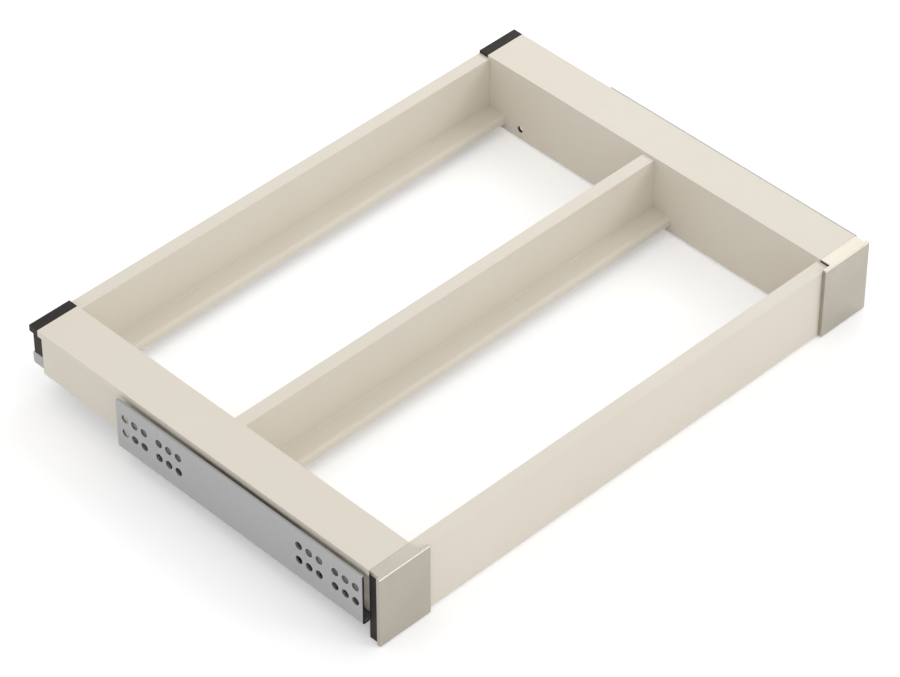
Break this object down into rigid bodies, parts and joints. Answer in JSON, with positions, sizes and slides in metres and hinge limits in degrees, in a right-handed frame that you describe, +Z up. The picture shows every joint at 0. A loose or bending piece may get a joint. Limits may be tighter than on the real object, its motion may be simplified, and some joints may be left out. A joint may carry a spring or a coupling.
{
  "type": "pull-out tray frame",
  "caption": "Rectangular pull-out frame with two open tray bays, on full-extension ball slides hidden in hollow side members and hung on J-shaped cabinet brackets.",
  "frame": {"origin": "middle of the frame's width and depth, at the level of the lowest face (the foot of the front corner blocks)", "axes": "+X to the right across the cabinet, +Y to the rear, +Z up; the tray pulls out along -Y"},
  "size_m": [0.451, 0.328, 0.057],
  "materials": {
    "beige_powder_coat": "fine matt powder coat",
    "satin_beige_metal": "satin metallic lacquer",
    "black_plastic": "fine matt grain",
    "galvanised_steel": "galvanised, dull",
    "ball_steel": "polished bearing steel",
    "black_rubber": "matt"
  },
  "bodies": {
    "cabinet_side": {"cabinet_bracket_left": "galvanised_steel", "cabinet_bracket_right": "galvanised_steel", "cabinet_track_left": "galvanised_steel", "cabinet_track_right": "galvanised_steel", "track_rivets": "galvanised_steel", "track_buffers": "black_rubber"},
    "tray_frame": {"side_member_left": "beige_powder_coat", "side_member_right": "beige_powder_coat", "front_crossbar": "beige_powder_coat", "middle_crossbar": "beige_powder_coat", "rear_crossbar": "beige_powder_coat", "front_corner_block_left": "black_plastic", "front_corner_block_right": "black_plastic", "front_corner_cover_left": "satin_beige_metal", "front_corner_cover_right": "satin_beige_metal", "rear_corner_cap_left": "black_plastic", "rear_corner_cap_right": "black_plastic", "crossbar_screws": "galvanised_steel", "drawer_rail_left": "galvanised_steel", "drawer_rail_right": "galvanised_steel", "drawer_rail_screws": "galvanised_steel", "drawer_rail_buffers": "black_rubber"},
    "middle_rail_left": {"middle_outer_channel_left": "galvanised_steel", "middle_inner_channel_left": "galvanised_steel", "middle_rail_rivets_left": "galvanised_steel"},
    "outer_cage_left": {"outer_ball_cage_left": "galvanised_steel", "outer_balls_left": "ball_steel"},
    "inner_cage_left": {"inner_ball_cage_left": "galvanised_steel", "inner_balls_left": "ball_steel"},
    "middle_rail_right": {"middle_outer_channel_right": "galvanised_steel", "middle_inner_channel_right": "galvanised_steel", "middle_rail_rivets_right": "galvanised_steel"},
    "outer_cage_right": {"outer_ball_cage_right": "galvanised_steel", "outer_balls_right": "ball_steel"},
    "inner_cage_right": {"inner_ball_cage_right": "galvanised_steel", "inner_balls_right": "ball_steel"}
  },
  "joints": [
    {"name": "tray_slide", "type": "slide", "parent": "cabinet_side", "child": "tray_frame", "axis": [0, -1, 0], "range_m": [0, 0.3]},
    {"name": "middle_rail_left_slide", "type": "slide", "parent": "cabinet_side", "child": "middle_rail_left", "axis": [0, -1, 0], "range_m": [0, 0.15]},
    {"name": "outer_cage_left_slide", "type": "slide", "parent": "cabinet_side", "child": "outer_cage_left", "axis": [0, -1, 0], "range_m": [0, 0.075]},
    {"name": "inner_cage_left_slide", "type": "slide", "parent": "cabinet_side", "child": "inner_cage_left", "axis": [0, -1, 0], "range_m": [0, 0.225]},
    {"name": "middle_rail_right_slide", "type": "slide", "parent": "cabinet_side", "child": "middle_rail_right", "axis": [0, -1, 0], "range_m": [0, 0.15]},
    {"name": "outer_cage_right_slide", "type": "slide", "parent": "cabinet_side", "child": "outer_cage_right", "axis": [0, -1, 0], "range_m": [0, 0.075]},
    {"name": "inner_cage_right_slide", "type": "slide", "parent": "cabinet_side", "child": "inner_cage_right", "axis": [0, -1, 0], "range_m": [0, 0.225]}
  ],
  "couplings": [
    {"joint": "middle_rail_left_slide", "follows": "tray_slide", "ratio": 0.5},
    {"joint": "outer_cage_left_slide", "follows": "tray_slide", "ratio": 0.25},
    {"joint": "inner_cage_left_slide", "follows": "tray_slide", "ratio": 0.75},
    {"joint": "middle_rail_right_slide", "follows": "tray_slide", "ratio": 0.5},
    {"joint": "outer_cage_right_slide", "follows": "tray_slide", "ratio": 0.25},
    {"joint": "inner_cage_right_slide", "follows": "tray_slide", "ratio": 0.75}
  ]
}
